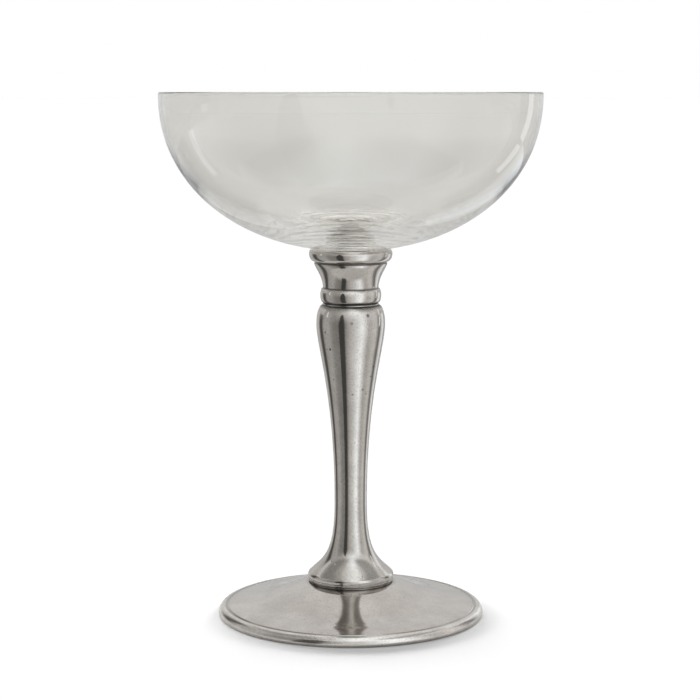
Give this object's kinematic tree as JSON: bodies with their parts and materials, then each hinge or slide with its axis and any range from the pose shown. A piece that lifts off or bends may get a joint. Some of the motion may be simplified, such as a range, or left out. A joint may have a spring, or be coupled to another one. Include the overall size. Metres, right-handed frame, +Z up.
{
  "type": "champagne coupe",
  "caption": "Champagne coupe: a wide, shallow crystal bowl cemented into a turned pewter cup, on a pewter baluster stem with a bell-shaped base and a low sloping foot.",
  "frame": {"origin": "on the table surface, under the middle of the foot", "axes": "+Z up along the stem's axis of symmetry; +X and +Y are alike"},
  "size_m": [0.105, 0.105, 0.1457],
  "materials": {
    "crystal": "clear, fire-polished",
    "pewter": "antiqued pewter, turned and hand-polished, dark in the grooves",
    "cement": "clear set cement",
    "solder": "dull tin solder"
  },
  "bodies": {
    "root": {"bowl": "crystal", "bowl_cement": "cement", "stem_cup": "pewter", "cup_solder": "solder", "stem": "pewter", "foot_solder": "solder", "foot": "pewter"}
  },
  "joints": []
}
